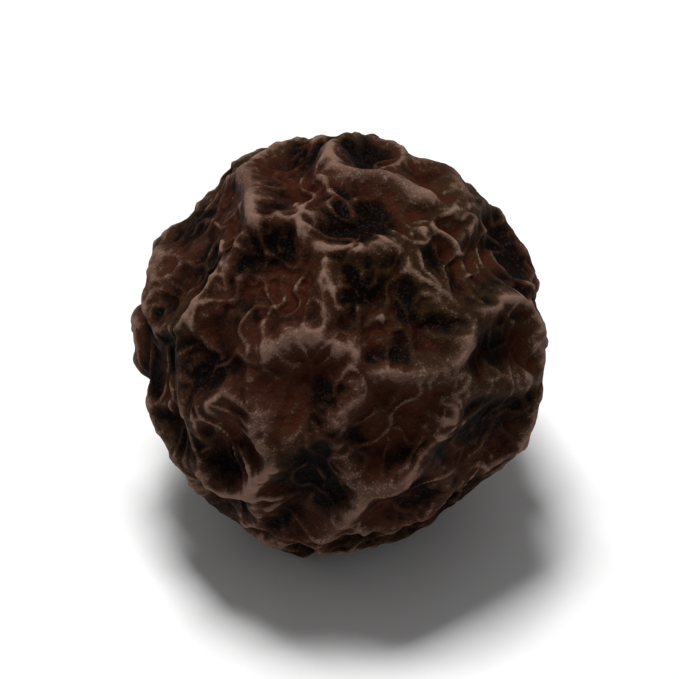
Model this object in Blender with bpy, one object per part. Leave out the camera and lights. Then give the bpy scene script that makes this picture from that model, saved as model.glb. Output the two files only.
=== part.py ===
"""One dried black peppercorn: a small, nearly round fruit whose skin has shrunk into a raised net of ridges.

Metres, +Z up. The origin is the middle of the square that the fruit stands over, on the level it stands on.
-X is the side where the fruit sat on its spike, +X the side where its flower had its stigma.
The fruit is seen from -Y, from SEEN_FROM above the level.
"""

import math

import bpy
from mathutils import Vector

MM = 0.001

# The fruit
FRUIT_RADIUS = 2.41 * MM
SWELL_DEPTH = 0.5 * MM
SWELL_LENGTH = 4.5 * MM
SWELL_SEED = 4.0

# The hollows in the skin: those seen from the front, across and up that view in fruit radii, and the rest
SEEN_FROM = math.radians(43)
SEEN_HOLLOWS = (
    (0.25, 0.14), (-0.38, 0.30), (-0.63, -0.21), (0.25, -0.39), (-0.13, -0.14),
    (-0.22, -0.79), (0.75, -0.11), (0.18, 0.62), (-0.72, 0.57), (-0.22, 0.76),
    (0.62, 0.46), (0.64, -0.50), (-0.50, -0.56), (0.20, -0.84),
)
SEEN_CLEARANCE = 1.05 * MM
HOLLOW_SPACING = 0.72 * MM
HOLLOW_DEPTH = 0.12 * MM
HOLLOW_SEED = 9
FEWEST_HOLLOWS = 0.22
CROWDING_LENGTH = 3 * MM
CROWDING_SEED = 1.0
SPARSE_BELOW = 0.38
CROWDED_ABOVE = 0.60
TRIES_PER_HOLLOW = 12.8

# The net of ridges round the hollows
RIDGE_HEIGHT = 0.36 * MM
RIDGE_WIDTH = 0.195 * MM
RIDGE_CUTS = 4
RIDGE_SMOOTHING = 2
BOWL_EDGE = 2.4 * RIDGE_WIDTH
RIDGE_SEED = 16
FAINTEST_RIDGE = 0.08
RIDGE_CONTRAST = 0.8
RIDGE_MEANDER = 0.25 * MM
RIDGE_MEANDER_LENGTH = 1.1 * MM
RIDGE_LEAN = 0.6
LEAN_LENGTH = 1.8 * MM
LEAN_SEED = 5.0

# The finer folds between them
FOLD_SPACING = 0.44 * MM
FOLD_SEED = 24
FOLD_HEIGHT = 0.17 * MM
FOLD_WIDTH = 0.09 * MM
FOLD_CUTS = 3
FOLD_CONTRAST = 1.6
FOLD_MEANDER = 0.16 * MM
FOLD_MEANDER_LENGTH = 0.8 * MM
FOLD_PATCHES = 1.3 * MM
FOLD_PATCH_SEED = 17.0
FOLDS_FAINT_BELOW = 0.36
FOLDS_FULL_ABOVE = 0.58
FAINTEST_FOLDS = 0.25
FOLDS_LOST_ON_RIDGE = 0.6

# Any ridge or fold: how it meanders, how round its crest is, and how its height and width vary
MEANDER_SEED = 2.0
CREST_POWER = 1.8
LINE_SMOOTHING = 12
SKIN_SMOOTHING = 3
WIDTH_LENGTH = 1.1 * MM
RIDGE_WIDTH_SEED = 3.0
FOLD_WIDTH_SEED = 12.0
NARROW_BELOW = 0.35
WIDE_ABOVE = 0.65
NARROWEST = 0.75
WIDEST = 1.5

# The knob where the fruit sat on its spike, with a dent in it, and the trace of the stigma
KNOB_RADIUS = 0.50 * MM
KNOB_HEIGHT = 0.34 * MM
KNOB_EDGE_POWER = 4.0
KNOB_WITHIN = 0.8 * KNOB_RADIUS
KNOB_BLENDED_BY = 1.5 * KNOB_RADIUS
DENT_RADIUS = 0.20 * MM
DENT_DEPTH = 0.16 * MM
STIGMA_RADIUS = 0.20 * MM
STIGMA_HEIGHT = 0.16 * MM
STIGMA_BLENDED_BY = 2.2 * STIGMA_RADIUS

# The flat spot under the fruit, and the three low crests round it that the fruit stands on
REST_CUT = 0.20 * MM
REST_RADIUS = 0.5 * MM
REST_WITHIN = 0.4 * REST_RADIUS
REST_BLENDED_BY = 2.6 * REST_RADIUS
REST_HEIGHT = 0.8 * RIDGE_HEIGHT
REST_LIFT = 0.05 * MM
FOOT_SPREAD = 1.35 * MM
FOOT_RADIUS = 0.36 * MM
FEET_BELOW = 0.6 * MM

# The mesh
CUBE_FACES = 64
TRIANGLES = 9600


def put(tree, kind, inputs=None, **settings):
    """Adds a node with these settings, and sets or links its inputs."""
    node = tree.nodes.new(kind)
    for name, value in settings.items():
        setattr(node, name, value)
    for key, value in (inputs or {}).items():
        if isinstance(value, bpy.types.NodeSocket):
            tree.links.new(value, node.inputs[key])
        else:
            node.inputs[key].default_value = value
    return node


def number(tree, operation, *values):
    """A sum on numbers."""
    return put(tree, "ShaderNodeMath", dict(enumerate(values)), operation=operation).outputs[0]


def arrow(tree, operation, *values):
    """A sum on vectors."""
    return put(tree, "ShaderNodeVectorMath", dict(enumerate(values)), operation=operation).outputs[0]


def stretched(tree, vector, factor):
    return put(tree, "ShaderNodeVectorMath", {0: vector, "Scale": factor}, operation="SCALE").outputs[0]


def position(tree):
    return put(tree, "GeometryNodeInputPosition").outputs[0]


def eased(tree, value, low, high, at_low=0.0, at_high=1.0):
    """Goes smoothly from at_low to at_high as the value goes from low to high."""
    inputs = {"Value": value, "From Min": low, "From Max": high, "To Min": at_low, "To Max": at_high}
    return put(tree, "ShaderNodeMapRange", inputs, interpolation_type="SMOOTHSTEP").outputs[0]


def noise(tree, length, seed, output="Fac"):
    """A smooth random value in space, whose bumps are about this long."""
    inputs = {"Vector": position(tree), "Scale": 1.0 / length, "Detail": 1.0, "W": seed}
    return put(tree, "ShaderNodeTexNoise", inputs, noise_dimensions="4D").outputs[output]


def random_arrow(tree, length, seed, size):
    """A smooth random vector in space."""
    centred = arrow(tree, "SUBTRACT", noise(tree, length, seed, "Color"), (0.5, 0.5, 0.5))
    return stretched(tree, centred, size)


def hump(tree, gap, width, power=2.0):
    """A rounded crest: 1 where the gap is 0, and almost nothing two widths away."""
    share = number(tree, "POWER", number(tree, "DIVIDE", gap, width), power)
    return number(tree, "EXPONENT", number(tree, "MULTIPLY", share, -1.0))


def on_fruit(tree, vector):
    """The point of the round fruit in this direction."""
    return stretched(tree, arrow(tree, "NORMALIZE", vector), FRUIT_RADIUS)


def moved(tree, geometry, place):
    return put(tree, "GeometryNodeSetPosition", {"Geometry": geometry, "Position": place}).outputs[0]


def ball(tree):
    """A cube of even faces, blown up to the round fruit."""
    corners = CUBE_FACES + 1
    inputs = {"Size": (2, 2, 2), "Vertices X": corners, "Vertices Y": corners, "Vertices Z": corners}
    cube = put(tree, "GeometryNodeMeshCube", inputs).outputs[0]
    even = arrow(tree, "TANGENT", stretched(tree, position(tree), math.pi / 4))
    return moved(tree, cube, on_fruit(tree, even))


def scattered_hollows(tree, spacing, seed):
    """Points at random over the fruit, closer together in some places than in others."""
    globe = put(tree, "GeometryNodeMeshIcoSphere", {"Radius": FRUIT_RADIUS, "Subdivisions": 5}).outputs[0]
    chance = noise(tree, CROWDING_LENGTH, CROWDING_SEED + seed)
    crowding = eased(tree, chance, SPARSE_BELOW, CROWDED_ABOVE, FEWEST_HOLLOWS, 1.0)
    inputs = {"Mesh": globe, "Distance Min": spacing, "Density Max": TRIES_PER_HOLLOW / spacing ** 2,
              "Density Factor": crowding, "Seed": seed}
    return put(tree, "GeometryNodeDistributePointsOnFaces", inputs, distribute_method="POISSON").outputs[0]


def with_seen_hollows(tree, points, seen):
    """Adds the hollows that are placed by hand, and drops the random ones next to them."""
    gap = put(tree, "GeometryNodeProximity", {"Geometry": seen, "Sample Position": position(tree)},
              target_element="POINTS").outputs["Distance"]
    crowded = put(tree, "FunctionNodeCompare", {"A": gap, "B": SEEN_CLEARANCE}, operation="LESS_THAN")
    inputs = {"Geometry": points, "Selection": crowded.outputs[0]}
    rest = put(tree, "GeometryNodeDeleteGeometry", inputs).outputs[0]
    placed = put(tree, "GeometryNodeMeshToPoints", {"Mesh": seen}).outputs[0]
    both = put(tree, "GeometryNodeJoinGeometry", {0: placed})
    tree.links.new(rest, both.inputs[0])
    return both.outputs[0]


def borders(tree, points, seed, meander, meander_length, cuts):
    """The lines halfway between neighbouring hollows, each with a strength of its own, made to meander."""
    hull = put(tree, "GeometryNodeConvexHull", {"Geometry": points}).outputs[0]
    cells = put(tree, "GeometryNodeDualMesh", {"Mesh": hull}).outputs[0]
    edges = put(tree, "GeometryNodeDeleteGeometry", {"Geometry": cells}, domain="FACE", mode="ONLY_FACE")
    chance = put(tree, "FunctionNodeRandomValue", {"Seed": seed}, data_type="FLOAT")
    strength = next(output for output in chance.outputs if output.enabled)
    inputs = {"Geometry": edges.outputs[0], "Name": "strength", "Value": strength}
    lines = put(tree, "GeometryNodeStoreNamedAttribute", inputs, domain="EDGE").outputs[0]
    lines = put(tree, "GeometryNodeSubdivideMesh", {"Mesh": lines, "Level": cuts}).outputs[0]
    bend = random_arrow(tree, meander_length, MEANDER_SEED + seed, 4 * meander)
    return moved(tree, lines, on_fruit(tree, arrow(tree, "ADD", position(tree), bend)))


def blurred(tree, value, times):
    return put(tree, "GeometryNodeBlurAttribute", {"Value": value, "Iterations": times}).outputs[0]


def ridges(tree, lines, width, faintest, contrast, width_seed):
    """How far the skin stands out along the lines, from 0 to 1, and how far off they are."""
    here = {"Geometry": lines, "Sample Position": position(tree)}
    gap = put(tree, "GeometryNodeProximity", here, target_element="EDGES").outputs["Distance"]
    strength = put(tree, "GeometryNodeInputNamedAttribute", {"Name": "strength"}).outputs[0]
    nearest = put(tree, "GeometryNodeSampleNearest", here).outputs[0]
    inputs = {"Geometry": lines, "Value": blurred(tree, strength, LINE_SMOOTHING), "Index": nearest}
    strength = blurred(tree, put(tree, "GeometryNodeSampleIndex", inputs).outputs[0], SKIN_SMOOTHING)
    inputs = {"Value": number(tree, "POWER", strength, contrast), "To Min": faintest}
    height = put(tree, "ShaderNodeMapRange", inputs).outputs[0]
    chance = noise(tree, WIDTH_LENGTH, width_seed)
    widen = eased(tree, chance, NARROW_BELOW, WIDE_ABOVE, NARROWEST, WIDEST)
    crest = hump(tree, gap, number(tree, "MULTIPLY", width, widen), CREST_POWER)
    return number(tree, "MULTIPLY", crest, height), gap


def relief(tree, seen):
    """How far the skin stands out of the round fruit."""
    hollows = with_seen_hollows(tree, scattered_hollows(tree, HOLLOW_SPACING, HOLLOW_SEED), seen)
    lines = borders(tree, hollows, RIDGE_SEED, RIDGE_MEANDER, RIDGE_MEANDER_LENGTH, RIDGE_CUTS)
    net, off_line = ridges(tree, lines, RIDGE_WIDTH, FAINTEST_RIDGE, RIDGE_CONTRAST, RIDGE_WIDTH_SEED)
    net = blurred(tree, net, RIDGE_SMOOTHING)
    bowl = number(tree, "SUBTRACT", 1.0, hump(tree, off_line, BOWL_EDGE))

    dimples = scattered_hollows(tree, FOLD_SPACING, FOLD_SEED)
    lines = borders(tree, dimples, FOLD_SEED, FOLD_MEANDER, FOLD_MEANDER_LENGTH, FOLD_CUTS)
    folds = ridges(tree, lines, FOLD_WIDTH, 0.0, FOLD_CONTRAST, FOLD_WIDTH_SEED)[0]
    chance = noise(tree, FOLD_PATCHES, FOLD_PATCH_SEED)
    patches = eased(tree, chance, FOLDS_FAINT_BELOW, FOLDS_FULL_ABOVE, FAINTEST_FOLDS, 1.0)
    off_ridge = number(tree, "SUBTRACT", 1.0, number(tree, "MULTIPLY", net, FOLDS_LOST_ON_RIDGE))
    folds = number(tree, "MULTIPLY", number(tree, "MULTIPLY", folds, patches), off_ridge)

    rise = number(tree, "ADD", number(tree, "MULTIPLY", net, RIDGE_HEIGHT),
                  number(tree, "MULTIPLY", folds, FOLD_HEIGHT))
    return number(tree, "SUBTRACT", rise, number(tree, "MULTIPLY", bowl, HOLLOW_DEPTH))


def patched(tree, base, side, near, far, patch):
    """The relief, replaced by the patch's within near of the fruit's outermost point on one side."""
    patch_height, gap = patch(side)
    inputs = {"Factor": eased(tree, gap, near, far), "A": patch_height, "B": base}
    return put(tree, "ShaderNodeMix", inputs, data_type="FLOAT").outputs[0]


def at_rest(tree, skin):
    """Centres the fruit over the origin, and gives it its flat spot and the crests that it stands on."""
    box = put(tree, "GeometryNodeBoundBox", {"Geometry": skin})
    middle = stretched(tree, arrow(tree, "ADD", box.outputs["Min"], box.outputs["Max"]), 0.5)
    lowest = arrow(tree, "ADD", box.outputs["Min"], (0, 0, REST_CUT))
    across = arrow(tree, "MULTIPLY", middle, (1, 1, 0))
    rest = arrow(tree, "ADD", across, arrow(tree, "MULTIPLY", lowest, (0, 0, 1)))
    standing = arrow(tree, "SUBTRACT", position(tree), rest)
    skin = moved(tree, skin, arrow(tree, "MAXIMUM", standing, (-1, -1, REST_LIFT)))

    feet = put(tree, "GeometryNodeMeshCircle", {"Vertices": 3, "Radius": FOOT_SPREAD}).outputs[0]
    inputs = {"Geometry": feet, "Sample Position": arrow(tree, "MULTIPLY", position(tree), (1, 1, 0))}
    gap = put(tree, "GeometryNodeProximity", inputs, target_element="POINTS").outputs["Distance"]
    height = put(tree, "ShaderNodeSeparateXYZ", {0: position(tree)}).outputs["Z"]
    low = eased(tree, height, FEET_BELOW, 2 * FEET_BELOW, 1.0, 0.0)
    pull = number(tree, "MULTIPLY", hump(tree, gap, FOOT_RADIUS), low)
    drop = stretched(tree, (0, 0, 1), number(tree, "MULTIPLY", pull, height))
    return moved(tree, skin, arrow(tree, "SUBTRACT", position(tree), drop))


def fruit_tree():
    tree = bpy.data.node_groups.new("Wrinkled fruit", "GeometryNodeTree")
    tree.interface.new_socket("Seen hollows", in_out="INPUT", socket_type="NodeSocketGeometry")
    tree.interface.new_socket("Fruit", in_out="OUTPUT", socket_type="NodeSocketGeometry")
    seen = put(tree, "NodeGroupInput").outputs[0]

    def gap_to(side):
        inputs = {0: position(tree), 1: stretched(tree, side, FRUIT_RADIUS)}
        return put(tree, "ShaderNodeVectorMath", inputs, operation="DISTANCE").outputs["Value"]

    def knob(side):
        gap = gap_to(side)
        boss = number(tree, "MULTIPLY", hump(tree, gap, KNOB_RADIUS, KNOB_EDGE_POWER), KNOB_HEIGHT)
        dent = number(tree, "MULTIPLY", hump(tree, gap, DENT_RADIUS), DENT_DEPTH)
        return number(tree, "SUBTRACT", boss, dent), gap

    def stigma(side):
        gap = gap_to(side)
        return number(tree, "MULTIPLY", hump(tree, gap, STIGMA_RADIUS), STIGMA_HEIGHT), gap

    def flat_spot(side):
        return REST_HEIGHT, gap_to(side)

    rise = relief(tree, seen)
    rise = patched(tree, rise, (-1, 0, 0), KNOB_WITHIN, KNOB_BLENDED_BY, knob)
    rise = patched(tree, rise, (1, 0, 0), STIGMA_RADIUS, STIGMA_BLENDED_BY, stigma)
    rise = patched(tree, rise, (0, 0, -1), REST_WITHIN, REST_BLENDED_BY, flat_spot)
    swell = number(tree, "SUBTRACT", noise(tree, SWELL_LENGTH, SWELL_SEED), 0.5)
    swell = number(tree, "MULTIPLY", swell, SWELL_DEPTH)

    outwards = stretched(tree, arrow(tree, "NORMALIZE", position(tree)), number(tree, "ADD", rise, swell))
    leaning = stretched(tree, random_arrow(tree, LEAN_LENGTH, LEAN_SEED, 2 * RIDGE_LEAN), rise)
    inputs = {"Geometry": ball(tree), "Offset": arrow(tree, "ADD", outwards, leaning)}
    skin = put(tree, "GeometryNodeSetPosition", inputs).outputs[0]
    skin = at_rest(tree, skin)
    skin = put(tree, "GeometryNodeSetShadeSmooth", {"Geometry": skin}).outputs[0]
    skin = put(tree, "GeometryNodeSetMaterial", {"Geometry": skin, "Material": dried_skin()}).outputs[0]
    put(tree, "NodeGroupOutput", {0: skin})
    return tree


def dried_skin():
    material = bpy.data.materials.new("dried_skin")
    material.use_nodes = True
    shader = material.node_tree.nodes["Principled BSDF"]
    shader.inputs["Base Color"].default_value = (0.035, 0.020, 0.015, 1)
    shader.inputs["Roughness"].default_value = 0.65
    shader.inputs["Metallic"].default_value = 0.0
    return material


def seen_direction(across, up):
    """The direction from the fruit's middle to this point of the front view."""
    towards = math.sqrt(1 - across ** 2 - up ** 2)
    forward = up * math.sin(SEEN_FROM) - towards * math.cos(SEEN_FROM)
    height = up * math.cos(SEEN_FROM) + towards * math.sin(SEEN_FROM)
    return Vector((across, forward, height))


def make_peppercorn(collection):
    hollows = bpy.data.meshes.new("peppercorn")
    hollows.from_pydata([FRUIT_RADIUS * seen_direction(*place) for place in SEEN_HOLLOWS], [], [])
    fruit = bpy.data.objects.new("peppercorn", hollows)
    collection.objects.link(fruit)
    fruit.modifiers.new("Wrinkled fruit", "NODES").node_group = fruit_tree()
    fruit.modifiers.new("Triangles", "TRIANGULATE")
    fruit.modifiers.new("Fewer triangles", "DECIMATE").ratio = TRIANGLES / (12 * CUBE_FACES ** 2)
    return fruit


for old in list(bpy.data.objects):
    bpy.data.objects.remove(old, do_unlink=True)
corn = bpy.data.collections.new("black_peppercorn")
bpy.context.scene.collection.children.link(corn)
make_peppercorn(corn)
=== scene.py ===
import math

import bpy
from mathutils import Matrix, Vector


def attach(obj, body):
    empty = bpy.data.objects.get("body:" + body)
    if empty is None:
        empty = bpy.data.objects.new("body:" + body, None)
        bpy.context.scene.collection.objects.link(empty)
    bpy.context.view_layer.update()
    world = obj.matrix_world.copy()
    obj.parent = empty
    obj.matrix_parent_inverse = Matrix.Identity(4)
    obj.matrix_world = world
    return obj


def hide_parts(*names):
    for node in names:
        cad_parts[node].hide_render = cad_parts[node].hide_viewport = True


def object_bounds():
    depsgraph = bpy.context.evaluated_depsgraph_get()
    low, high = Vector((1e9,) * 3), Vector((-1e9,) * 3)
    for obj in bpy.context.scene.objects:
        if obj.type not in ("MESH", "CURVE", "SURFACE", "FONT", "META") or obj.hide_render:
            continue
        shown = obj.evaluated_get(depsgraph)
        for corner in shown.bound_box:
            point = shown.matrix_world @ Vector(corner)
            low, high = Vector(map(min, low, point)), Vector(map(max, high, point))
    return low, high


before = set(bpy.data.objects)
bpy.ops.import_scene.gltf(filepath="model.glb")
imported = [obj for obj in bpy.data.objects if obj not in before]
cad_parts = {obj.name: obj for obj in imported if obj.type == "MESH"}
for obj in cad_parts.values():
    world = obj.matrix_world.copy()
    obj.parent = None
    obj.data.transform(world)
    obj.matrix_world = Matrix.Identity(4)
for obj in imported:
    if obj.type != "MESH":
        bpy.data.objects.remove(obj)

cad_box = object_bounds()

# The peppercorn is one small, round fruit of the pepper vine, picked green and dried whole in the sun.
# Drying turns its flesh into a thin, dark brown to black skin, which shrinks on to the hard seed and
# wrinkles into a raised net of ridges. One end keeps the knob where it grew, the other its flower's trace.

MM = 0.001
FRUIT_SIZES = {
    "Fruit radius": 2.41 * MM,
    "Swell depth": 0.50 * MM,
    "Hollow spacing": 0.72 * MM,
    "Hollow depth": 0.12 * MM,
    "Ridge height": 0.36 * MM,
    "Ridge width": 0.195 * MM,
    "Ridge lean": 0.6,
    "Fold spacing": 0.44 * MM,
    "Fold height": 0.17 * MM,
    "Fold width": 0.09 * MM,
    "Crease height": 0.055 * MM,
    "Pucker depth": 0.045 * MM,
    "Knob radius": 0.50 * MM,
    "Knob height": 0.34 * MM,
    "Dent radius": 0.20 * MM,
    "Dent depth": 0.16 * MM,
    "Stigma radius": 0.20 * MM,
    "Stigma height": 0.16 * MM,
    "Rest radius": 0.50 * MM,
    "Rest cut": 0.20 * MM,
    "Foot spread": 1.35 * MM,
    "Foot radius": 0.36 * MM,
}
FACES_ALONG_CUBE = 128
SWELL_LENGTH = 4.5 * MM
SWELL_SEED = 4.0

# The hollows seen from the front, across and up that view of the fruit, in fruit radii.
SEEN_FROM = math.radians(43)
SEEN_HOLLOWS = (
    (0.25, 0.14), (-0.38, 0.30), (-0.63, -0.21), (0.25, -0.39), (-0.13, -0.14),
    (-0.22, -0.79), (0.75, -0.11), (0.18, 0.62), (-0.72, 0.57), (-0.22, 0.76),
    (0.62, 0.46), (0.64, -0.50), (-0.50, -0.56), (0.20, -0.84),
)
SEEN_CLEARANCE = 1.05 * MM

# All the other hollows, crowded in some places and sparse in others.
HOLLOW_SEED = 9
CROWDING_LENGTH = 3 * MM
CROWDING_SEED = 1.0
SPARSE_BELOW = 0.38
CROWDED_ABOVE = 0.60
FEWEST_HOLLOWS = 0.22
TRIES_PER_HOLLOW = 12.8

# The net of ridges round the hollows, and the bowls that it leaves, in ridge widths.
RIDGE_SEED = 16
RIDGE_CUTS = 4
RIDGE_SMOOTHING = 8
FAINTEST_RIDGE = 0.08
RIDGE_CONTRAST = 0.8
RIDGE_MEANDER = 0.25 * MM
RIDGE_MEANDER_LENGTH = 1.1 * MM
LEAN_LENGTH = 1.8 * MM
LEAN_SEED = 5.0
BOWL_EDGE = 2.4

# The finer folds in the hollows.
FOLD_SEED = 24
FOLD_CUTS = 3
FAINTEST_FOLD = 0.0
FOLD_CONTRAST = 1.6
FOLD_MEANDER = 0.16 * MM
FOLD_MEANDER_LENGTH = 0.8 * MM
FOLD_PATCHES = 1.3 * MM
FOLD_PATCH_SEED = 17.0
FOLDS_FAINT_BELOW = 0.36
FOLDS_FULL_ABOVE = 0.58
FAINTEST_FOLDS = 0.25
FOLDS_LOST_ON_RIDGE = 0.6

# Any ridge or fold: how it meanders, how round its crest is, and how its height and width vary.
MEANDER_SEED = 2.0
CREST_POWER = 1.8
LINE_SMOOTHING = 12
SKIN_SMOOTHING = 6
WIDTH_LENGTH = 1.1 * MM
RIDGE_WIDTH_SEED = 3.0
FOLD_WIDTH_SEED = 12.0
NARROW_BELOW = 0.35
WIDE_ABOVE = 0.65
NARROWEST = 0.75
WIDEST = 1.5

# The knob and the stigma's trace, and how far each reaches before the net takes over, in its own radii.
KNOB_EDGE_POWER = 4.0
KNOB_WITHIN = 0.8
KNOB_BLENDED_BY = 1.5
STIGMA_WITHIN = 1.0
STIGMA_BLENDED_BY = 2.2

# The flat spot below, the same way, and the crests round it that the fruit stands on.
REST_WITHIN = 0.4
REST_BLENDED_BY = 2.6
REST_IN_RIDGE_HEIGHTS = 0.8
REST_LIFT = 0.05 * MM
FEET = 3
FEET_BELOW = 0.6 * MM

# The creases and puckers of the skin itself.
CREASE_EDGE = 0.035
CREASE_LENGTH = 0.62 * MM
CREASE_SEED = 12.0
FINER_CREASE_LENGTH = 0.50 * MM
FINER_CREASE_SEED = 13.0
FINER_CREASE_SHARE = 0.7
PUCKER_LENGTH = 0.28 * MM
PUCKER_SEED = 14.0
PUCKER_DETAIL = 2.0

# How widely the skin is evened out to tell what stands out from it, for its colour to follow: painted shade
# where it sinks, and paler colour with a painted highlight where it stands out.
BULGE_TIMES = {"fine_bulge": 6, "broad_bulge": 110}


def put(tree, kind, inputs=None, **settings):
    """Adds a node with these settings, and sets or links its inputs."""
    node = tree.nodes.new(kind)
    for name, value in settings.items():
        setattr(node, name, value)
    for key, value in (inputs or {}).items():
        if isinstance(value, bpy.types.NodeSocket):
            tree.links.new(value, node.inputs[key])
        else:
            node.inputs[key].default_value = value
    return node


def number(tree, operation, *values):
    """A sum on numbers."""
    return put(tree, "ShaderNodeMath", dict(enumerate(values)), operation=operation).outputs[0]


def arrow(tree, operation, *values):
    """A sum on vectors."""
    return put(tree, "ShaderNodeVectorMath", dict(enumerate(values)), operation=operation).outputs[0]


def stretched(tree, vector, factor):
    return put(tree, "ShaderNodeVectorMath", {0: vector, "Scale": factor}, operation="SCALE").outputs[0]


def eased(tree, value, low, high, at_low=0.0, at_high=1.0):
    """Goes smoothly from at_low to at_high as the value goes from low to high."""
    inputs = {"Value": value, "From Min": low, "From Max": high, "To Min": at_low, "To Max": at_high}
    return put(tree, "ShaderNodeMapRange", inputs, interpolation_type="SMOOTHSTEP").outputs[0]


def noise(tree, place, length, seed, output="Fac", detail=1.0):
    """A smooth random value in space, whose bumps are about this long."""
    inputs = {"Vector": place, "Scale": 1.0 / length, "Detail": detail, "W": seed}
    return put(tree, "ShaderNodeTexNoise", inputs, noise_dimensions="4D").outputs[output]


def position(tree):
    return put(tree, "GeometryNodeInputPosition").outputs[0]


def random_arrow(tree, length, seed, size):
    """A smooth random vector in space."""
    centred = arrow(tree, "SUBTRACT", noise(tree, position(tree), length, seed, "Color"), (0.5, 0.5, 0.5))
    return stretched(tree, centred, size)


def hump(tree, gap, width, power=2.0):
    """A rounded crest: 1 where the gap is 0, and almost nothing two widths away."""
    share = number(tree, "POWER", number(tree, "DIVIDE", gap, width), power)
    return number(tree, "EXPONENT", number(tree, "MULTIPLY", share, -1.0))


def on_fruit(tree, vector, size):
    """The point of the round fruit in this direction."""
    return stretched(tree, arrow(tree, "NORMALIZE", vector), size["Fruit radius"])


def moved(tree, geometry, place):
    return put(tree, "GeometryNodeSetPosition", {"Geometry": geometry, "Position": place}).outputs[0]


def blurred(tree, value, times):
    return put(tree, "GeometryNodeBlurAttribute", {"Value": value, "Iterations": times}).outputs[0]


def ball(tree, size):
    """A cube of even faces, blown up to the round fruit."""
    corners = FACES_ALONG_CUBE + 1
    inputs = {"Size": (2, 2, 2), "Vertices X": corners, "Vertices Y": corners, "Vertices Z": corners}
    cube = put(tree, "GeometryNodeMeshCube", inputs).outputs[0]
    even = arrow(tree, "TANGENT", stretched(tree, position(tree), math.pi / 4))
    return moved(tree, cube, on_fruit(tree, even, size))


def scattered_hollows(tree, size, spacing, seed):
    """Points at random over the fruit, closer together in some places than in others."""
    inputs = {"Radius": size["Fruit radius"], "Subdivisions": 5}
    globe = put(tree, "GeometryNodeMeshIcoSphere", inputs).outputs[0]
    chance = noise(tree, position(tree), CROWDING_LENGTH, CROWDING_SEED + seed)
    crowding = eased(tree, chance, SPARSE_BELOW, CROWDED_ABOVE, FEWEST_HOLLOWS, 1.0)
    most = number(tree, "DIVIDE", TRIES_PER_HOLLOW, number(tree, "MULTIPLY", spacing, spacing))
    inputs = {"Mesh": globe, "Distance Min": spacing, "Density Max": most, "Density Factor": crowding,
              "Seed": seed}
    return put(tree, "GeometryNodeDistributePointsOnFaces", inputs, distribute_method="POISSON").outputs[0]


def with_seen_hollows(tree, points, seen):
    """Adds the hollows that are listed, and drops the random ones next to them."""
    inputs = {"Geometry": seen, "Sample Position": position(tree)}
    gap = put(tree, "GeometryNodeProximity", inputs, target_element="POINTS").outputs["Distance"]
    crowded = put(tree, "FunctionNodeCompare", {"A": gap, "B": SEEN_CLEARANCE}, operation="LESS_THAN")
    inputs = {"Geometry": points, "Selection": crowded.outputs[0]}
    rest = put(tree, "GeometryNodeDeleteGeometry", inputs).outputs[0]
    placed = put(tree, "GeometryNodeMeshToPoints", {"Mesh": seen}).outputs[0]
    both = put(tree, "GeometryNodeJoinGeometry", {0: placed})
    tree.links.new(rest, both.inputs[0])
    return both.outputs[0]


def borders(tree, size, points, seed, meander, meander_length, cuts):
    """The lines halfway between neighbouring hollows, each with a strength of its own, made to meander."""
    hull = put(tree, "GeometryNodeConvexHull", {"Geometry": points}).outputs[0]
    cells = put(tree, "GeometryNodeDualMesh", {"Mesh": hull}).outputs[0]
    edges = put(tree, "GeometryNodeDeleteGeometry", {"Geometry": cells}, domain="FACE", mode="ONLY_FACE")
    chance = put(tree, "FunctionNodeRandomValue", {"Seed": seed}, data_type="FLOAT")
    strength = next(output for output in chance.outputs if output.enabled)
    inputs = {"Geometry": edges.outputs[0], "Name": "strength", "Value": strength}
    lines = put(tree, "GeometryNodeStoreNamedAttribute", inputs, domain="EDGE").outputs[0]
    lines = put(tree, "GeometryNodeSubdivideMesh", {"Mesh": lines, "Level": cuts}).outputs[0]
    bend = random_arrow(tree, meander_length, MEANDER_SEED + seed, 4 * meander)
    return moved(tree, lines, on_fruit(tree, arrow(tree, "ADD", position(tree), bend), size))


def ridges(tree, lines, width, faintest, contrast, width_seed):
    """How far the skin stands out along the lines, from 0 to 1, and how far off they are."""
    here = {"Geometry": lines, "Sample Position": position(tree)}
    gap = put(tree, "GeometryNodeProximity", here, target_element="EDGES").outputs["Distance"]
    strength = put(tree, "GeometryNodeInputNamedAttribute", {"Name": "strength"}).outputs[0]
    nearest = put(tree, "GeometryNodeSampleNearest", here).outputs[0]
    inputs = {"Geometry": lines, "Value": blurred(tree, strength, LINE_SMOOTHING), "Index": nearest}
    strength = blurred(tree, put(tree, "GeometryNodeSampleIndex", inputs).outputs[0], SKIN_SMOOTHING)
    inputs = {"Value": number(tree, "POWER", strength, contrast), "To Min": faintest}
    height = put(tree, "ShaderNodeMapRange", inputs).outputs[0]
    chance = noise(tree, position(tree), WIDTH_LENGTH, width_seed)
    widen = eased(tree, chance, NARROW_BELOW, WIDE_ABOVE, NARROWEST, WIDEST)
    crest = hump(tree, gap, number(tree, "MULTIPLY", width, widen), CREST_POWER)
    return number(tree, "MULTIPLY", crest, height), gap


def net_of_ridges(tree, size):
    """The ridges round the hollows, from 0 to 1, and how far off they are."""
    hollows = scattered_hollows(tree, size, size["Hollow spacing"], HOLLOW_SEED)
    hollows = with_seen_hollows(tree, hollows, size["Seen hollows"])
    lines = borders(tree, size, hollows, RIDGE_SEED, RIDGE_MEANDER, RIDGE_MEANDER_LENGTH, RIDGE_CUTS)
    width = size["Ridge width"]
    net, off_line = ridges(tree, lines, width, FAINTEST_RIDGE, RIDGE_CONTRAST, RIDGE_WIDTH_SEED)
    return blurred(tree, net, RIDGE_SMOOTHING), off_line


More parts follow.
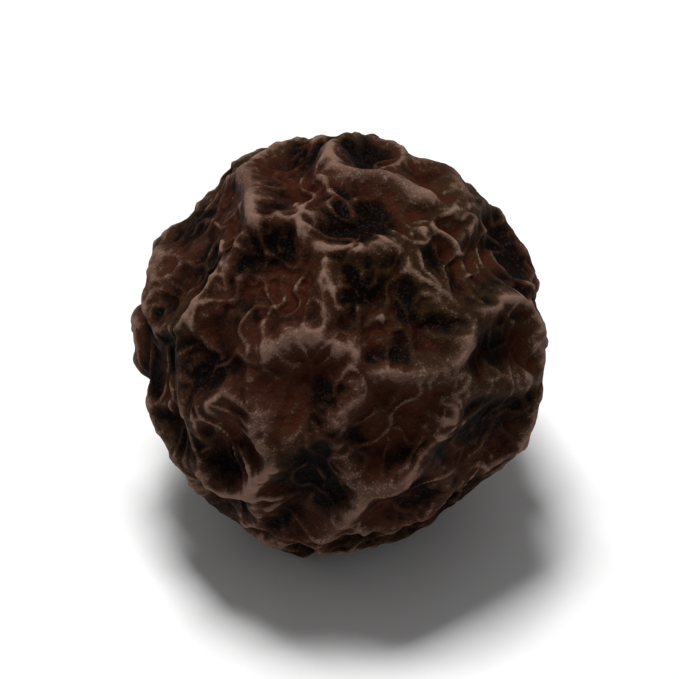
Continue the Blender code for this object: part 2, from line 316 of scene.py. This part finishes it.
def finer_folds(tree, size):
    """The folds in the hollows, from 0 to 1, strong in some patches and faint in others."""
    dimples = scattered_hollows(tree, size, size["Fold spacing"], FOLD_SEED)
    lines = borders(tree, size, dimples, FOLD_SEED, FOLD_MEANDER, FOLD_MEANDER_LENGTH, FOLD_CUTS)
    width = size["Fold width"]
    folds = ridges(tree, lines, width, FAINTEST_FOLD, FOLD_CONTRAST, FOLD_WIDTH_SEED)[0]
    chance = noise(tree, position(tree), FOLD_PATCHES, FOLD_PATCH_SEED)
    patches = eased(tree, chance, FOLDS_FAINT_BELOW, FOLDS_FULL_ABOVE, FAINTEST_FOLDS, 1.0)
    return number(tree, "MULTIPLY", folds, patches)


def creases_along(tree, length, seed):
    """Thin lines that wander and close on themselves: where a smooth random value passes its middle."""
    off_middle = number(tree, "SUBTRACT", noise(tree, position(tree), length, seed), 0.5)
    return hump(tree, number(tree, "ABSOLUTE", off_middle), CREASE_EDGE)


def with_creases(tree, rise, size, off_ridge):
    """The rise, with the creases and puckers of the skin itself."""
    finer = creases_along(tree, FINER_CREASE_LENGTH, FINER_CREASE_SEED)
    finer = number(tree, "MULTIPLY", finer, FINER_CREASE_SHARE)
    creases = number(tree, "MAXIMUM", creases_along(tree, CREASE_LENGTH, CREASE_SEED), finer)
    creases = number(tree, "MULTIPLY", creases, off_ridge)
    pucker = noise(tree, position(tree), PUCKER_LENGTH, PUCKER_SEED, detail=PUCKER_DETAIL)
    pucker = number(tree, "SUBTRACT", pucker, 0.5)
    rise = number(tree, "ADD", rise, number(tree, "MULTIPLY", creases, size["Crease height"]))
    both_ways = number(tree, "MULTIPLY", size["Pucker depth"], 2.0)
    return number(tree, "ADD", rise, number(tree, "MULTIPLY", pucker, both_ways))


def gap_to(tree, size, side):
    """How far each place is from the fruit's outermost point on one side."""
    inputs = {0: position(tree), 1: stretched(tree, side, size["Fruit radius"])}
    return put(tree, "ShaderNodeVectorMath", inputs, operation="DISTANCE").outputs["Value"]


def patched(tree, rise, patch, gap, radius, within, blended_by):
    """The rise, replaced by the patch in the middle, and mixed with it up to the outer limit."""
    near = number(tree, "MULTIPLY", radius, within)
    far = number(tree, "MULTIPLY", radius, blended_by)
    inputs = {"Factor": eased(tree, gap, near, far), "A": patch, "B": rise}
    return put(tree, "ShaderNodeMix", inputs, data_type="FLOAT").outputs[0]


def with_ends(tree, rise, size):
    """The rise, with the knob and its dent, the trace of the stigma, and the spot that the fruit rests on."""
    gap = gap_to(tree, size, (-1, 0, 0))
    boss = hump(tree, gap, size["Knob radius"], KNOB_EDGE_POWER)
    boss = number(tree, "MULTIPLY", boss, size["Knob height"])
    dent = number(tree, "MULTIPLY", hump(tree, gap, size["Dent radius"]), size["Dent depth"])
    knob = number(tree, "SUBTRACT", boss, dent)
    rise = patched(tree, rise, knob, gap, size["Knob radius"], KNOB_WITHIN, KNOB_BLENDED_BY)
    gap = gap_to(tree, size, (1, 0, 0))
    trace = number(tree, "MULTIPLY", hump(tree, gap, size["Stigma radius"]), size["Stigma height"])
    rise = patched(tree, rise, trace, gap, size["Stigma radius"], STIGMA_WITHIN, STIGMA_BLENDED_BY)
    gap = gap_to(tree, size, (0, 0, -1))
    rest = number(tree, "MULTIPLY", size["Ridge height"], REST_IN_RIDGE_HEIGHTS)
    return patched(tree, rise, rest, gap, size["Rest radius"], REST_WITHIN, REST_BLENDED_BY)


def at_rest(tree, skin, size):
    """Centres the fruit over the origin, and gives it a flat spot below and three crests to stand on."""
    box = put(tree, "GeometryNodeBoundBox", {"Geometry": skin})
    middle = stretched(tree, arrow(tree, "ADD", box.outputs["Min"], box.outputs["Max"]), 0.5)
    cut = stretched(tree, (0, 0, 1), size["Rest cut"])
    lowest = arrow(tree, "ADD", arrow(tree, "MULTIPLY", box.outputs["Min"], (0, 0, 1)), cut)
    rest = arrow(tree, "ADD", arrow(tree, "MULTIPLY", middle, (1, 1, 0)), lowest)
    standing = arrow(tree, "SUBTRACT", position(tree), rest)
    skin = moved(tree, skin, arrow(tree, "MAXIMUM", standing, (-1, -1, REST_LIFT)))

    feet = put(tree, "GeometryNodeMeshCircle", {"Vertices": FEET, "Radius": size["Foot spread"]}).outputs[0]
    inputs = {"Geometry": feet, "Sample Position": arrow(tree, "MULTIPLY", position(tree), (1, 1, 0))}
    gap = put(tree, "GeometryNodeProximity", inputs, target_element="POINTS").outputs["Distance"]
    height = put(tree, "ShaderNodeSeparateXYZ", {0: position(tree)}).outputs["Z"]
    low = eased(tree, height, FEET_BELOW, 2 * FEET_BELOW, 1.0, 0.0)
    pull = number(tree, "MULTIPLY", hump(tree, gap, size["Foot radius"]), low)
    drop = stretched(tree, (0, 0, 1), number(tree, "MULTIPLY", pull, height))
    return moved(tree, skin, arrow(tree, "SUBTRACT", position(tree), drop))


def bulge(tree, times):
    """How far each place stands out from its surroundings, in millimetres."""
    around = put(tree, "GeometryNodeBlurAttribute", {"Iterations": times}, data_type="FLOAT_VECTOR")
    socket = next(entry for entry in around.inputs if entry.enabled and entry.name == "Value")
    tree.links.new(position(tree), socket)
    around = next(output for output in around.outputs if output.enabled)
    outwards = put(tree, "GeometryNodeInputNormal").outputs[0]
    inputs = {0: arrow(tree, "SUBTRACT", position(tree), around), 1: outwards}
    gap = put(tree, "ShaderNodeVectorMath", inputs, operation="DOT_PRODUCT").outputs["Value"]
    return number(tree, "DIVIDE", gap, MM)


def marked(tree, skin, name, value):
    """Keeps a value on the skin under this name, for its colour to follow."""
    inputs = {"Geometry": skin, "Name": name, "Value": value}
    return put(tree, "GeometryNodeStoreNamedAttribute", inputs, domain="POINT").outputs[0]


def fruit_tree(skin_material):
    tree = bpy.data.node_groups.new("Wrinkled fruit", "GeometryNodeTree")
    tree.interface.new_socket("Seen hollows", in_out="INPUT", socket_type="NodeSocketGeometry")
    for name in FRUIT_SIZES:
        tree.interface.new_socket(name, in_out="INPUT", socket_type="NodeSocketFloat")
    tree.interface.new_socket("Fruit", in_out="OUTPUT", socket_type="NodeSocketGeometry")
    size = put(tree, "NodeGroupInput").outputs

    # The ridges, and the folds and bowls between them
    net, off_line = net_of_ridges(tree, size)
    off_ridge = number(tree, "SUBTRACT", 1.0, number(tree, "MULTIPLY", net, FOLDS_LOST_ON_RIDGE))
    folds = number(tree, "MULTIPLY", finer_folds(tree, size), off_ridge)
    rise = number(tree, "ADD", number(tree, "MULTIPLY", net, size["Ridge height"]),
                  number(tree, "MULTIPLY", folds, size["Fold height"]))
    edge = number(tree, "MULTIPLY", size["Ridge width"], BOWL_EDGE)
    bowl = number(tree, "SUBTRACT", 1.0, hump(tree, off_line, edge))
    rise = number(tree, "SUBTRACT", rise, number(tree, "MULTIPLY", bowl, size["Hollow depth"]))
    rise = with_creases(tree, with_ends(tree, rise, size), size, off_ridge)

    # The fruit is not quite round, and its ridges lean over
    swell = number(tree, "SUBTRACT", noise(tree, position(tree), SWELL_LENGTH, SWELL_SEED), 0.5)
    lifted = number(tree, "ADD", rise, number(tree, "MULTIPLY", swell, size["Swell depth"]))
    outwards = stretched(tree, arrow(tree, "NORMALIZE", position(tree)), lifted)
    lean = number(tree, "MULTIPLY", rise, size["Ridge lean"])
    lean = stretched(tree, random_arrow(tree, LEAN_LENGTH, LEAN_SEED, 2.0), lean)
    inputs = {"Geometry": ball(tree, size), "Offset": arrow(tree, "ADD", outwards, lean)}
    skin = put(tree, "GeometryNodeSetPosition", inputs).outputs[0]
    skin = at_rest(tree, skin, size)

    for name, times in BULGE_TIMES.items():
        skin = marked(tree, skin, name, bulge(tree, times))
    skin = put(tree, "GeometryNodeSetShadeSmooth", {"Geometry": skin}).outputs[0]
    skin = put(tree, "GeometryNodeRealizeInstances", {"Geometry": skin}).outputs[0]
    skin = put(tree, "GeometryNodeSetMaterial", {"Geometry": skin, "Material": skin_material}).outputs[0]
    put(tree, "NodeGroupOutput", {0: skin})
    return tree


def mixed(tree, factor, first, second):
    """A colour between two colours."""
    node = put(tree, "ShaderNodeMix", {"Factor": factor}, data_type="RGBA")
    for socket, value in ((node.inputs[6], first), (node.inputs[7], second)):
        if isinstance(value, bpy.types.NodeSocket):
            tree.links.new(value, socket)
        else:
            socket.default_value = value
    return node.outputs[2]


# The grain of a surface, and the specks of dust in it: a speck is a fleck where the grain is high too.
GRAIN_DETAIL = 4.0
GRAIN_ROUGHNESS = 0.6
FLECKS_PER_GRAIN = 3.0
FLECK_SEED = 7.0
FLECK_SHARE = 0.6
GRAIN_SHARE = 0.4
BARE_EDGE = 0.72
EDGE_DROP = 0.35
SPECK_SOFTNESS = 0.10


def grain_group():
    """Fine grain of any size, and the specks of dust that catch in it."""
    tree = bpy.data.node_groups.new("Fine grain", "ShaderNodeTree")
    tree.interface.new_socket("Place", in_out="INPUT", socket_type="NodeSocketVector")
    for name in ("Grains per metre", "Coverage", "Seed"):
        tree.interface.new_socket(name, in_out="INPUT", socket_type="NodeSocketFloat")
    for name in ("Grain", "Dust"):
        tree.interface.new_socket(name, in_out="OUTPUT", socket_type="NodeSocketFloat")
    given = put(tree, "NodeGroupInput").outputs
    inputs = {"Vector": given["Place"], "Scale": given["Grains per metre"], "W": given["Seed"],
              "Detail": GRAIN_DETAIL, "Roughness": GRAIN_ROUGHNESS}
    grain = put(tree, "ShaderNodeTexNoise", inputs, noise_dimensions="4D").outputs["Fac"]
    inputs["Scale"] = number(tree, "MULTIPLY", given["Grains per metre"], FLECKS_PER_GRAIN)
    inputs["W"] = number(tree, "ADD", given["Seed"], FLECK_SEED)
    inputs["Detail"] = 1.0
    fleck = put(tree, "ShaderNodeTexNoise", inputs, noise_dimensions="4D").outputs["Fac"]
    speck = number(tree, "ADD", number(tree, "MULTIPLY", fleck, FLECK_SHARE),
                   number(tree, "MULTIPLY", grain, GRAIN_SHARE))
    edge = number(tree, "SUBTRACT", BARE_EDGE, number(tree, "MULTIPLY", given["Coverage"], EDGE_DROP))
    dust = eased(tree, speck, edge, number(tree, "ADD", edge, SPECK_SOFTNESS))
    put(tree, "NodeGroupOutput", {"Grain": grain, "Dust": dust})
    return tree


def grained(tree, group, place, size, coverage, seed):
    """The grain and the dust of this surface."""
    node = tree.nodes.new("ShaderNodeGroup")
    node.node_tree = group
    tree.links.new(place, node.inputs["Place"])
    node.inputs["Grains per metre"].default_value = 1.0 / size
    node.inputs["Coverage"].default_value = coverage
    node.inputs["Seed"].default_value = seed
    return node.outputs["Grain"], node.outputs["Dust"]


fine_grain = grain_group()

# The colours of the dried skin: near black in its pits, which is painted shade, with red-brown patches of its
# own; brown on its flanks; paler and dustier on its crests, partly its own grey-beige and partly a painted
# highlight.
# Painted shade: the near-black colour put into the pits.
PAINTED_SHADE_BLACK = (0.0022, 0.0006, 0.0003, 1)
RED_BROWN = (0.0400, 0.0085, 0.0032, 1)
WARM_BROWN = (0.0380, 0.0125, 0.0062, 1)
OLIVE_BROWN = (0.0280, 0.0130, 0.0048, 1)
# Partly painted highlight: the pale crest colour is partly the skin's own grey-beige and partly a painted
# highlight.
CREST_BEIGE_AND_HIGHLIGHT = (0.1900, 0.1080, 0.0800, 1)
DUSTY_GREY = (0.2100, 0.1500, 0.1200, 1)

# How large its blotches are, and the random pattern of each.
MOTTLE_LENGTH = 0.9 * MM
MOTTLE_SEED = 1.0
MOTTLE_DETAIL = 3.0
OLIVE_LENGTH = 2.2 * MM
OLIVE_SEED = 5.0
BLOOM_LENGTH = 1.2 * MM
BLOOM_SEED = 8.0
BLOOM_DETAIL = 2.0
SKIN_GRAIN = 0.09 * MM
SKIN_GRAIN_SEED = 2.0
SKIN_DUST = 0.55

# How much each of these counts towards how high a place is, for its colour.
BROAD_COUNTS = 5.0
FINE_COUNTS = 25.0
MOTTLE_COUNTS = 1.8
GRAIN_COUNTS = 0.9

# Where each colour starts and where it is full.
RED_PITS = (0.45, 0.62)
OLIVE_FLANKS = (0.40, 0.60)
# Painted shade: how high a place must be for the dark of the pits to give way to the flanks' brown.
SHADE_TO_FLANK_HEIGHT = (-0.30, 0.40)
# Partly painted highlight: where the crests start to turn pale and where they are palest.
PALE_CREST_AND_HIGHLIGHT_HEIGHT = (0.30, 1.00)
BLOOM = (0.38, 0.56)
LEAST_BLOOM = 0.35
DUST_HEIGHT = (0.10, 1.00)
LEAST_DUST = 0.06
MOST_DUST = 0.65

# The finish: the grain makes it rougher or smoother, and stands up from it.
GRAIN_RANGE = (0.3, 0.7)
SMOOTHEST_SKIN = 0.55
ROUGHEST_SKIN = 0.85
SKIN_GLOSS = 0.04
GRAIN_DEPTH = 0.05 * MM
GRAIN_STRENGTH = 0.8


def height_for_colour(tree, mottle, grain):
    """How far a place stands out, made uneven by the mottle and the grain."""
    broad = put(tree, "ShaderNodeAttribute", attribute_name="broad_bulge").outputs["Fac"]
    fine = put(tree, "ShaderNodeAttribute", attribute_name="fine_bulge").outputs["Fac"]
    high = number(tree, "ADD", number(tree, "MULTIPLY", broad, BROAD_COUNTS),
                  number(tree, "MULTIPLY", fine, FINE_COUNTS))
    for pattern, counts in ((mottle, MOTTLE_COUNTS), (grain, GRAIN_COUNTS)):
        uneven = number(tree, "MULTIPLY", number(tree, "SUBTRACT", pattern, 0.5), counts)
        high = number(tree, "ADD", high, uneven)
    return high


def dried_skin():
    material = bpy.data.materials.new("dried_skin")
    material.use_nodes = True
    tree = material.node_tree
    shader = tree.nodes["Principled BSDF"]
    place = put(tree, "ShaderNodeTexCoord").outputs["Object"]
    mottle = noise(tree, place, MOTTLE_LENGTH, MOTTLE_SEED, detail=MOTTLE_DETAIL)
    olive = noise(tree, place, OLIVE_LENGTH, OLIVE_SEED)
    bloom = noise(tree, place, BLOOM_LENGTH, BLOOM_SEED, detail=BLOOM_DETAIL)
    grain, dust = grained(tree, fine_grain, place, SKIN_GRAIN, SKIN_DUST, SKIN_GRAIN_SEED)
    high = height_for_colour(tree, mottle, grain)

    # Painted shade: the pits go near black where they sink, with red-brown patches of the skin's own, and
    # turn brown up the flanks.
    red_pit_and_painted_shade = mixed(tree, eased(tree, mottle, *RED_PITS), PAINTED_SHADE_BLACK, RED_BROWN)
    flank = mixed(tree, eased(tree, olive, *OLIVE_FLANKS), WARM_BROWN, OLIVE_BROWN)
    colour = mixed(tree, eased(tree, high, *SHADE_TO_FLANK_HEIGHT), red_pit_and_painted_shade, flank)
    # Partly painted highlight: the crests turn paler with height, partly the skin's own grey-beige and partly
    # a painted highlight.
    pale = number(tree, "MULTIPLY", eased(tree, high, *PALE_CREST_AND_HIGHLIGHT_HEIGHT), eased(tree, bloom, *BLOOM, LEAST_BLOOM))
    colour = mixed(tree, pale, colour, CREST_BEIGE_AND_HIGHLIGHT)
    dusty = number(tree, "MULTIPLY", dust, eased(tree, high, *DUST_HEIGHT, LEAST_DUST, MOST_DUST))
    colour = mixed(tree, dusty, colour, DUSTY_GREY)
    tree.links.new(colour, shader.inputs["Base Color"])
    rough = eased(tree, grain, *GRAIN_RANGE, SMOOTHEST_SKIN, ROUGHEST_SKIN)
    tree.links.new(rough, shader.inputs["Roughness"])
    inputs = {"Height": grain, "Strength": GRAIN_STRENGTH, "Distance": GRAIN_DEPTH}
    bump = put(tree, "ShaderNodeBump", inputs)
    tree.links.new(bump.outputs[0], shader.inputs["Normal"])
    shader.inputs["Specular IOR Level"].default_value = SKIN_GLOSS
    return material


def seen_direction(across, up):
    """The direction from the fruit's middle to this point of the front view."""
    towards = math.sqrt(1 - across ** 2 - up ** 2)
    forward = up * math.sin(SEEN_FROM) - towards * math.cos(SEEN_FROM)
    height = up * math.cos(SEEN_FROM) + towards * math.sin(SEEN_FROM)
    return Vector((across, forward, height))


def make_peppercorn():
    hollows = bpy.data.meshes.new("seen hollows")
    middles = [FRUIT_SIZES["Fruit radius"] * seen_direction(*place) for place in SEEN_HOLLOWS]
    hollows.from_pydata(middles, [], [])
    fruit = bpy.data.objects.new("wrinkled_skin", hollows)
    bpy.context.scene.collection.objects.link(fruit)
    tree = fruit_tree(dried_skin())
    form = fruit.modifiers.new("Wrinkled fruit", "NODES")
    form.node_group = tree
    for socket in tree.interface.items_tree:
        if socket.name in FRUIT_SIZES:
            form[socket.identifier] = FRUIT_SIZES[socket.name]
    graph = bpy.context.evaluated_depsgraph_get()
    mesh = bpy.data.meshes.new_from_object(fruit.evaluated_get(graph))
    fruit.modifiers.remove(form)
    fruit.data = mesh
    return fruit


peppercorn = make_peppercorn()
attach(peppercorn, "root")
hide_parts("peppercorn")

# The floor is a plain, pale sheet that the fruit lies on, far larger than the view. It is not part of
# the object.

FLOOR_ACROSS = 0.4
SHEET_GRAIN = 0.6 * MM
SHEET_GRAIN_SEED = 4.0
SHEET_DUST = 0.1
SHEET_WHITE = (0.91, 0.91, 0.91, 1)
SHEET_SHADE = (0.88, 0.88, 0.88, 1)
SMOOTHEST_SHEET = 0.55
ROUGHEST_SHEET = 0.75


def pale_sheet():
    material = bpy.data.materials.new("pale_sheet")
    material.use_nodes = True
    tree = material.node_tree
    shader = tree.nodes["Principled BSDF"]
    place = put(tree, "ShaderNodeTexCoord").outputs["Object"]
    grain = grained(tree, fine_grain, place, SHEET_GRAIN, SHEET_DUST, SHEET_GRAIN_SEED)[0]
    tree.links.new(mixed(tree, grain, SHEET_SHADE, SHEET_WHITE), shader.inputs["Base Color"])
    rough = eased(tree, grain, *GRAIN_RANGE, SMOOTHEST_SHEET, ROUGHEST_SHEET)
    tree.links.new(rough, shader.inputs["Roughness"])
    return material


bpy.ops.mesh.primitive_plane_add(size=FLOOR_ACROSS)
floor = bpy.context.object
floor.name = "floor"
floor.data.materials.append(pale_sheet())

# The light is a white studio: a soft lamp high above, a little behind and to the left, with even light
# all round.

LAMP_PLACE = Vector((-0.012, 0.022, 0.12))
LAMP_ACROSS = 0.035
LAMP_POWER = 0.152
ROOM_LIGHT = 0.22
ROOM_WHITE = (1, 1, 1, 1)

fruit_middle = (Vector(cad_box[0]) + Vector(cad_box[1])) / 2
lamp_data = bpy.data.lights.new("overhead lamp", "AREA")
lamp_data.energy = LAMP_POWER
lamp_data.size = LAMP_ACROSS
lamp = bpy.data.objects.new("overhead lamp", lamp_data)
bpy.context.scene.collection.objects.link(lamp)
lamp.location = LAMP_PLACE
lamp.rotation_euler = (fruit_middle - LAMP_PLACE).to_track_quat("-Z", "Y").to_euler()

world = bpy.data.worlds.new("white studio")
world.use_nodes = True
room = world.node_tree.nodes["Background"]
room.inputs["Strength"].default_value = ROOM_LIGHT
room.inputs["Color"].default_value = ROOM_WHITE
bpy.context.scene.world = world
bpy.context.scene.view_settings.view_transform = "Standard"

# The camera looks down on the front of the fruit, from so many widths away that the view hardly tapers.

CAMERA_AWAY = 0.096
CAMERA_LENS = 400
NEAREST_SEEN = 0.005

camera_data = bpy.data.cameras.new("view")
camera_data.lens = CAMERA_LENS
camera_data.clip_start = NEAREST_SEEN
camera = bpy.data.objects.new("view", camera_data)
bpy.context.scene.collection.objects.link(camera)
camera.location = fruit_middle + CAMERA_AWAY * Vector((0, -math.cos(SEEN_FROM), math.sin(SEEN_FROM)))
camera.rotation_euler = (fruit_middle - camera.location).to_track_quat("-Z", "Y").to_euler()
bpy.context.scene.camera = camera
